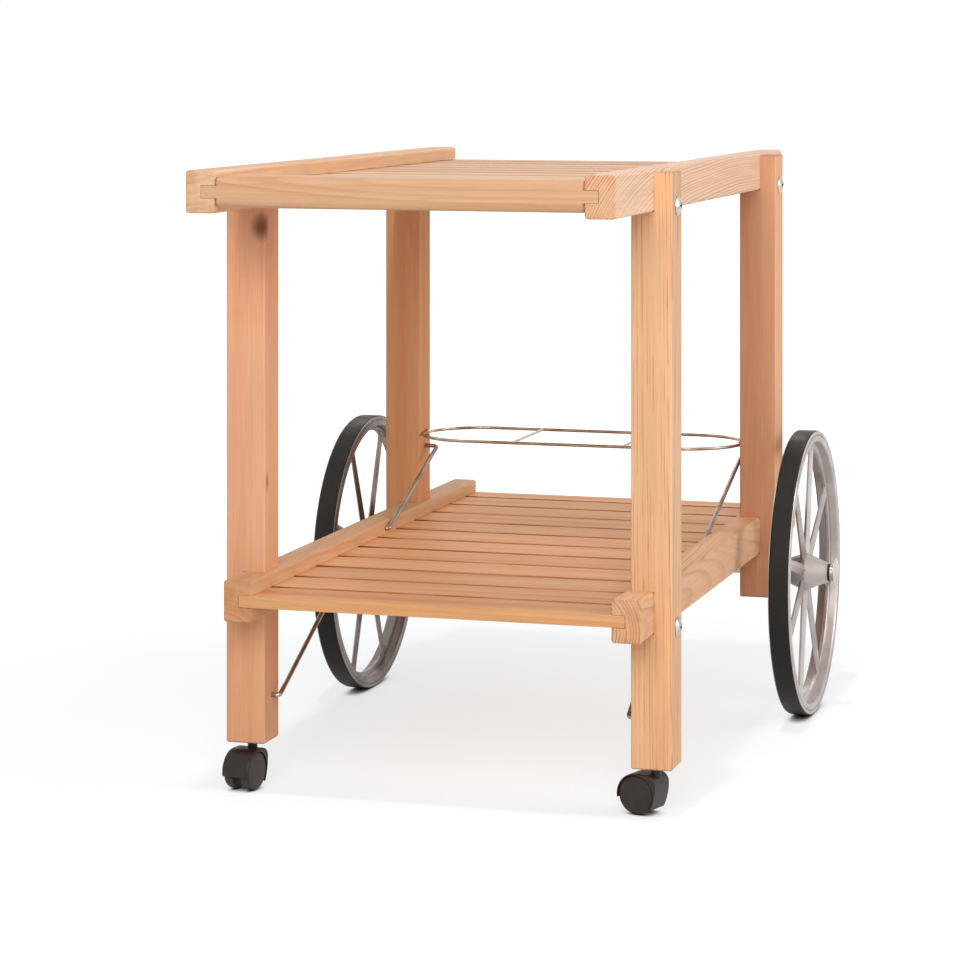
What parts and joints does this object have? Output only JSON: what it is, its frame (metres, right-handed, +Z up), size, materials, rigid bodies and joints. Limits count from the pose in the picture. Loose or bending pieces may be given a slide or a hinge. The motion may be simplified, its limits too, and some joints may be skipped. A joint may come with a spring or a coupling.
{
  "type": "serving trolley",
  "caption": "Wooden two-tier serving trolley with slatted trays in grooved rails, a push bar, big spoked rear wheels, front swivel casters, wire braces and a bottle ring.",
  "frame": {"origin": "on the floor, under the middle of the whole trolley", "axes": "+X across to the right seen from the push bar, +Y from the push bar to the rear wheels, +Z up"},
  "size_m": [0.645, 0.95, 0.685],
  "materials": {
    "timber": "planed softwood, clear oiled, satin",
    "stainless_wire": "drawn wire, satin",
    "plated_steel": "bright plated",
    "cast_aluminium": "cast, satin",
    "tyre_rubber": "matte rubber",
    "black_plastic": "moulded, fine satin"
  },
  "bodies": {
    "frame": {"front_left_post": "timber", "front_right_post": "timber", "rear_left_post": "timber", "rear_right_post": "timber", "top_left_rail": "timber", "top_right_rail": "timber", "lower_left_rail": "timber", "lower_right_rail": "timber", "push_bar": "timber", "top_slat_01": "timber", "top_slat_02": "timber", "top_slat_03": "timber", "top_slat_04": "timber", "top_slat_05": "timber", "top_slat_06": "timber", "top_slat_07": "timber", "top_slat_08": "timber", "top_slat_09": "timber", "top_slat_10": "timber", "top_slat_11": "timber", "lower_slat_01": "timber", "lower_slat_02": "timber", "lower_slat_03": "timber", "lower_slat_04": "timber", "lower_slat_05": "timber", "lower_slat_06": "timber", "lower_slat_07": "timber", "lower_slat_08": "timber", "lower_slat_09": "timber", "lower_slat_10": "timber", "lower_slat_11": "timber", "lower_slat_12": "timber", "upper_left_brace": "stainless_wire", "upper_right_brace": "stainless_wire", "lower_left_brace": "stainless_wire", "lower_right_brace": "stainless_wire", "bottle_ring": "stainless_wire", "ring_staples": "stainless_wire", "frame_bolts": "plated_steel", "barrel_nuts": "plated_steel", "rear_axle": "plated_steel", "axle_caps": "plated_steel", "axle_washers": "black_plastic", "caster_sockets": "black_plastic"},
    "left_rear_wheel": {"left_wheel": "cast_aluminium", "left_tyre": "tyre_rubber", "left_wheel_bushes": "black_plastic"},
    "right_rear_wheel": {"right_wheel": "cast_aluminium", "right_tyre": "tyre_rubber", "right_wheel_bushes": "black_plastic"},
    "left_caster": {"left_caster_stem": "plated_steel", "left_caster_hood": "black_plastic", "left_caster_pin": "plated_steel"},
    "left_caster_roller_1": {"left_caster_wheel_1": "black_plastic"},
    "left_caster_roller_2": {"left_caster_wheel_2": "black_plastic"},
    "right_caster": {"right_caster_stem": "plated_steel", "right_caster_hood": "black_plastic", "right_caster_pin": "plated_steel"},
    "right_caster_roller_1": {"right_caster_wheel_1": "black_plastic"},
    "right_caster_roller_2": {"right_caster_wheel_2": "black_plastic"}
  },
  "joints": [
    {"name": "left_wheel_spin", "type": "hinge", "parent": "frame", "child": "left_rear_wheel", "pos_m": [-0.2835, 0.2705, 0.172], "axis": [1, 0, 0], "continuous": true},
    {"name": "right_wheel_spin", "type": "hinge", "parent": "frame", "child": "right_rear_wheel", "pos_m": [0.2835, 0.2705, 0.172], "axis": [1, 0, 0], "continuous": true},
    {"name": "left_caster_swivel", "type": "hinge", "parent": "frame", "child": "left_caster", "pos_m": [-0.2285, -0.2855, 0.06], "axis": [0, 0, 1], "continuous": true},
    {"name": "left_caster_roll_1", "type": "hinge", "parent": "left_caster", "child": "left_caster_roller_1", "pos_m": [-0.23116, -0.30229, 0.0205], "axis": [0.9877, -0.1564, 0], "continuous": true},
    {"name": "left_caster_roll_2", "type": "hinge", "parent": "left_caster", "child": "left_caster_roller_2", "pos_m": [-0.23116, -0.30229, 0.0205], "axis": [0.9877, -0.1564, 0], "continuous": true},
    {"name": "right_caster_swivel", "type": "hinge", "parent": "frame", "child": "right_caster", "pos_m": [0.2285, -0.2855, 0.06], "axis": [0, 0, 1], "continuous": true},
    {"name": "right_caster_roll_1", "type": "hinge", "parent": "right_caster", "child": "right_caster_roller_1", "pos_m": [0.21214, -0.28087, 0.0205], "axis": [-0.2723, -0.9622, 0], "continuous": true},
    {"name": "right_caster_roll_2", "type": "hinge", "parent": "right_caster", "child": "right_caster_roller_2", "pos_m": [0.21214, -0.28087, 0.0205], "axis": [-0.2723, -0.9622, 0], "continuous": true}
  ]
}
